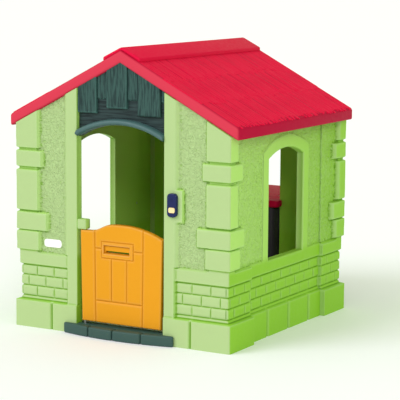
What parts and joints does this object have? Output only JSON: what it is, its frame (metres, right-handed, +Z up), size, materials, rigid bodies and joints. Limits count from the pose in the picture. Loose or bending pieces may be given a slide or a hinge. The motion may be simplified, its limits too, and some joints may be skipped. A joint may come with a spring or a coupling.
{
  "type": "playhouse",
  "caption": "Plastic toddler playhouse with a pitched roof, swinging half door, arched side windows, press-button doorbell and a table that passes through the back wall.",
  "frame": {"origin": "on the ground under the middle of the whole outline, table and step included", "axes": "+X to the right of the front wall, +Y from the front wall to the back wall, +Z up"},
  "size_m": [1.092, 1.477, 1.1928],
  "materials": {
    "green_wall": "fine moulded grain",
    "red_roof": "wood-shake moulded grain",
    "teal_trim": "wood-grain moulding",
    "amber_door": "satin",
    "navy_case": "satin",
    "cream_button": "satin",
    "red_table": "fine moulded grain",
    "charcoal_base": "fine moulded grain",
    "white_badge": "satin",
    "steel_fastener": "zinc plated",
    "spring_steel": "bright wire",
    "circuit_board": "solder mask",
    "speaker_black": "matt",
    "black_tray": "matt",
    "battery_jacket": "satin"
  },
  "bodies": {
    "house": {"back_header_panel": "green_wall", "back_header_screws": "steel_fastener", "back_left_corner_panel": "green_wall", "back_right_corner_panel": "green_wall", "batteries": "battery_jacket", "battery_tray": "black_tray", "bell_case": "navy_case", "bell_circuit_board": "circuit_board", "bell_speaker": "speaker_black", "blank_badge": "white_badge", "button_spring": "spring_steel", "door_step": "teal_trim", "front_header_panel": "teal_trim", "front_header_screws": "steel_fastener", "front_left_corner_panel": "green_wall", "front_right_corner_panel": "green_wall", "hinge_block": "green_wall", "left_roof_panel": "red_roof", "left_seam_screws": "steel_fastener", "left_window_panel": "green_wall", "lower_hinge_pin": "steel_fastener", "pedestal_screws": "steel_fastener", "ridge_cap": "red_roof", "right_roof_panel": "red_roof", "right_seam_screws": "steel_fastener", "right_window_panel": "green_wall", "roof_screws": "steel_fastener", "step_screws": "steel_fastener", "table_pedestal": "charcoal_base", "table_screws": "steel_fastener", "table_top": "red_table", "upper_hinge_pin": "steel_fastener"},
    "door": {"half_door": "amber_door"},
    "button": {"bell_button": "cream_button"}
  },
  "joints": [
    {"name": "door_swing", "type": "hinge", "parent": "house", "child": "door", "pos_m": [-0.18, -0.6675, 0.245], "axis": [0, 0, 1], "range_deg": [-90, 90]},
    {"name": "button_press", "type": "slide", "parent": "house", "child": "button", "axis": [0, 1, 0], "range_m": [0, 0.0025], "stiffness_N_per_m": 300, "springref_m": -0.002, "deforming": ["button_spring"]}
  ]
}
